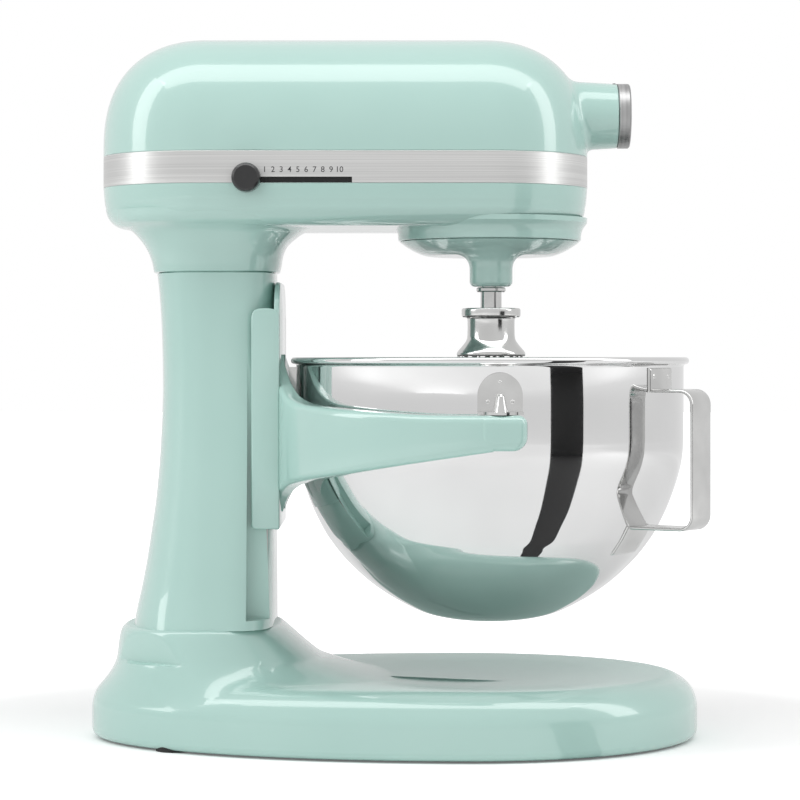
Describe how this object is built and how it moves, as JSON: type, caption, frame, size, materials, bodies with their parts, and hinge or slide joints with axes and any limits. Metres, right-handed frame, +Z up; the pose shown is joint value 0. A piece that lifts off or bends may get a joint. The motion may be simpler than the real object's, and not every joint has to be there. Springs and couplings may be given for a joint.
{
  "type": "stand mixer",
  "caption": "Bowl-lift kitchen stand mixer: enamelled stand with planetary wire whisk, steel bowl on a lever-raised carrier, speed slider and capped attachment hub.",
  "frame": {"origin": "centre of the bounding box on the counter under the feet", "axes": "+X towards the bowl end and attachment hub, +Y towards the lift-lever side, +Z up"},
  "size_m": [0.3656, 0.282, 0.4193],
  "materials": {
    "base_casting": "gloss enamel",
    "rubber_feet": "matt",
    "column_casting": "gloss enamel",
    "column_bolts": "zinc plated",
    "guide_rails": "ground",
    "lift_bush": "turned",
    "gearcase_housing": "gloss enamel",
    "motor_housing": "gloss enamel",
    "trim_band": "brushed along its length",
    "housing_screws": "zinc plated",
    "neck_screws": "zinc plated",
    "ring_gear": "machined",
    "motor_stator": "laminated",
    "motor_windings": "enamelled copper",
    "brush_holders": "drawn",
    "rear_bearing": "cast",
    "front_bearing": "cast",
    "centre_bearing": "turned",
    "cross_bearing": "turned",
    "hub_bearing": "turned",
    "speed_board": "solder mask",
    "cap_hinge_pin": "polished",
    "speed_knob": "gloss",
    "speed_slider": "matt",
    "hub_cap": "brushed",
    "thumb_knob": "gloss",
    "hub_drive": "machined",
    "armature_shaft": "ground",
    "armature_core": "laminated",
    "commutator": "turned copper",
    "cooling_fan": "moulded",
    "worm": "ground",
    "cross_shaft": "ground",
    "worm_wheel": "hobbed bronze",
    "cross_pinion": "machined",
    "centre_shaft": "ground",
    "centre_gear": "machined",
    "centre_bevel": "machined",
    "planetary_housing": "gloss enamel",
    "planetary_pin": "ground",
    "agitator_shaft": "polished",
    "agitator_pinion": "machined",
    "shaft_collar": "polished",
    "whisk_hub": "polished",
    "whisk_wires": "bright drawn",
    "bowl_support": "gloss enamel",
    "locating_pins": "polished",
    "latch_spring": "polished",
    "lift_bracket": "machined",
    "bracket_screws": "zinc plated",
    "bowl": "mirror polished",
    "bowl_bottom": "mirror polished",
    "bowl_ears": "polished",
    "bowl_rear_bracket": "polished",
    "bowl_handle": "polished",
    "lift_shaft": "ground",
    "lift_crank": "machined",
    "crank_roller": "turned",
    "lift_lever": "polished",
    "lever_grip": "gloss"
  },
  "bodies": {
    "stand": {"base_casting": "base_casting", "rubber_feet": "rubber_feet", "column_casting": "column_casting", "column_bolts": "column_bolts", "guide_rails": "guide_rails", "lift_bush": "lift_bush", "gearcase_housing": "gearcase_housing", "motor_housing": "motor_housing", "trim_band": "trim_band", "housing_screws": "housing_screws", "neck_screws": "neck_screws", "ring_gear": "ring_gear", "motor_stator": "motor_stator", "motor_windings": "motor_windings", "brush_holders": "brush_holders", "rear_bearing": "rear_bearing", "front_bearing": "front_bearing", "centre_bearing": "centre_bearing", "cross_bearing": "cross_bearing", "hub_bearing": "hub_bearing", "speed_board": "speed_board", "cap_hinge_pin": "cap_hinge_pin"},
    "speed_control": {"speed_knob": "speed_knob", "speed_slider": "speed_slider"},
    "attachment_cap": {"hub_cap": "hub_cap"},
    "attachment_knob": {"thumb_knob": "thumb_knob"},
    "attachment_drive": {"hub_drive": "hub_drive"},
    "armature": {"armature_shaft": "armature_shaft", "armature_core": "armature_core", "commutator": "commutator", "cooling_fan": "cooling_fan", "worm": "worm"},
    "cross_gear": {"cross_shaft": "cross_shaft", "worm_wheel": "worm_wheel", "cross_pinion": "cross_pinion"},
    "planetary": {"centre_shaft": "centre_shaft", "centre_gear": "centre_gear", "centre_bevel": "centre_bevel", "planetary_housing": "planetary_housing", "planetary_pin": "planetary_pin"},
    "beater": {"agitator_shaft": "agitator_shaft", "agitator_pinion": "agitator_pinion", "shaft_collar": "shaft_collar", "whisk_hub": "whisk_hub", "whisk_wires": "whisk_wires"},
    "carrier": {"bowl_support": "bowl_support", "locating_pins": "locating_pins", "latch_spring": "latch_spring", "lift_bracket": "lift_bracket", "bracket_screws": "bracket_screws"},
    "mixing_bowl": {"bowl": "bowl", "bowl_bottom": "bowl_bottom", "bowl_ears": "bowl_ears", "bowl_rear_bracket": "bowl_rear_bracket", "bowl_handle": "bowl_handle"},
    "lever": {"lift_shaft": "lift_shaft", "lift_crank": "lift_crank", "crank_roller": "crank_roller", "lift_lever": "lift_lever", "lever_grip": "lever_grip"}
  },
  "joints": [
    {"name": "planetary_spin", "type": "hinge", "parent": "stand", "child": "planetary", "pos_m": [0.057, 0, 0.3], "axis": [0, 0, 1], "continuous": true},
    {"name": "beater_spin", "type": "hinge", "parent": "planetary", "child": "beater", "pos_m": [0.057, -0.028, 0.28], "axis": [0, 0, 1], "continuous": true},
    {"name": "cross_spin", "type": "hinge", "parent": "stand", "child": "cross_gear", "pos_m": [0.01463, 0.031, 0.34], "axis": [0, 0, 1], "continuous": true},
    {"name": "motor_spin", "type": "hinge", "parent": "stand", "child": "armature", "pos_m": [0, 0, 0.366], "axis": [1, 0, 0], "continuous": true},
    {"name": "attachment_spin", "type": "hinge", "parent": "stand", "child": "attachment_drive", "pos_m": [0.09, 0, 0.374], "axis": [1, 0, 0], "continuous": true},
    {"name": "bowl_lift", "type": "slide", "parent": "stand", "child": "carrier", "axis": [0, 0, 1], "range_m": [-0.036, 0]},
    {"name": "lever_swing", "type": "hinge", "parent": "stand", "child": "lever", "pos_m": [-0.118, 0, 0.185], "axis": [0, 1, 0], "range_deg": [0, 80]},
    {"name": "bowl_removal", "type": "slide", "parent": "carrier", "child": "mixing_bowl", "axis": [0, 0, 1], "range_m": [0, 0.01]},
    {"name": "speed_slide", "type": "slide", "parent": "stand", "child": "speed_control", "axis": [1, 0, 0], "range_m": [0, 0.054]},
    {"name": "cap_hinge", "type": "hinge", "parent": "stand", "child": "attachment_cap", "pos_m": [0.132, 0, 0.3916], "axis": [0, -1, 0], "range_deg": [0, 95]},
    {"name": "knob_turn", "type": "hinge", "parent": "stand", "child": "attachment_knob", "pos_m": [0.124, 0.02, 0.374], "axis": [0, 1, 0], "range_deg": [0, 360]}
  ],
  "couplings": [
    {"joint": "beater_spin", "follows": "planetary_spin", "ratio": -4.3333},
    {"joint": "cross_spin", "follows": "planetary_spin", "ratio": -2},
    {"joint": "motor_spin", "follows": "planetary_spin", "ratio": 24},
    {"joint": "attachment_spin", "follows": "planetary_spin", "ratio": 1.5},
    {"joint": "lever_swing", "follows": "bowl_lift", "rad_per_m": -38.785}
  ]
}
